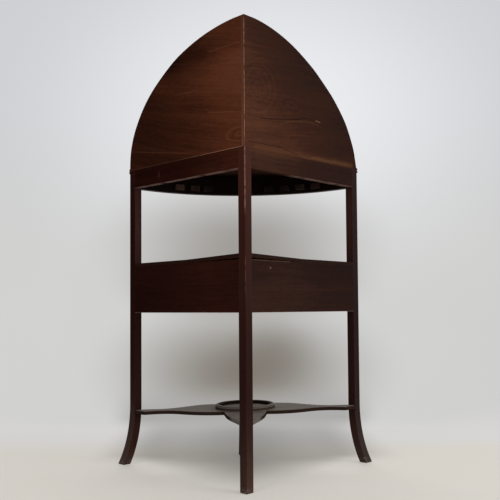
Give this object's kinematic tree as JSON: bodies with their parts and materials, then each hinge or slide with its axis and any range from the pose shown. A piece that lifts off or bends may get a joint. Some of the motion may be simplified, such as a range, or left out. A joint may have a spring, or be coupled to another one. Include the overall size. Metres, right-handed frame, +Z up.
{
  "type": "corner washstand",
  "caption": "Corner washstand with arched splash boards, a bowed basin top, a drawer tier, splayed legs and a shaped stretcher with a turned dish.",
  "frame": {"origin": "middle of the footprint box at floor level", "axes": "+Z up, -Y towards the bowed front, +Y towards the room corner, +X to the right seen from the front"},
  "size_m": [0.6888, 0.4733, 1.1],
  "materials": {
    "frame_mahogany": "dark red-brown polished mahogany",
    "board_mahogany": "brown mahogany, dull on the back",
    "top_mahogany": "worn mahogany with a dusty sheen",
    "secondary_pine": "unpolished softwood",
    "brass": "aged brass"
  },
  "bodies": {
    "carcass": {"back_leg": "frame_mahogany", "left_leg": "frame_mahogany", "right_leg": "frame_mahogany", "front_leg": "frame_mahogany", "left_splash_board": "board_mahogany", "right_splash_board": "board_mahogany", "splash_dowels": "secondary_pine", "basin_board": "top_mahogany", "bow_cove": "frame_mahogany", "left_cove": "frame_mahogany", "right_cove": "frame_mahogany", "upper_left_rail": "frame_mahogany", "upper_right_rail": "frame_mahogany", "bow_frieze": "frame_mahogany", "frieze_glue_blocks": "secondary_pine", "tier_shelf": "top_mahogany", "left_side_panel": "frame_mahogany", "right_side_panel": "frame_mahogany", "low_bow_rail": "frame_mahogany", "high_bow_rail": "frame_mahogany", "tier_base": "secondary_pine", "left_partition": "secondary_pine", "right_partition": "secondary_pine", "left_dummy_front": "frame_mahogany", "right_dummy_front": "frame_mahogany", "left_dummy_beads": "frame_mahogany", "right_dummy_beads": "frame_mahogany", "left_dummy_knob": "brass", "right_dummy_knob": "brass", "dummy_knob_nuts": "brass", "drawer_stops": "secondary_pine", "stretcher_platform": "top_mahogany", "ewer_dish": "top_mahogany"},
    "drawer": {"drawer_front": "frame_mahogany", "drawer_left_side": "secondary_pine", "drawer_right_side": "secondary_pine", "drawer_back": "secondary_pine", "drawer_bottom": "secondary_pine", "drawer_beads": "frame_mahogany", "drawer_knob": "brass", "drawer_knob_nut": "brass"}
  },
  "joints": [
    {"name": "drawer_slide", "type": "slide", "parent": "carcass", "child": "drawer", "axis": [0, -1, 0], "range_m": [0, 0.19]}
  ]
}
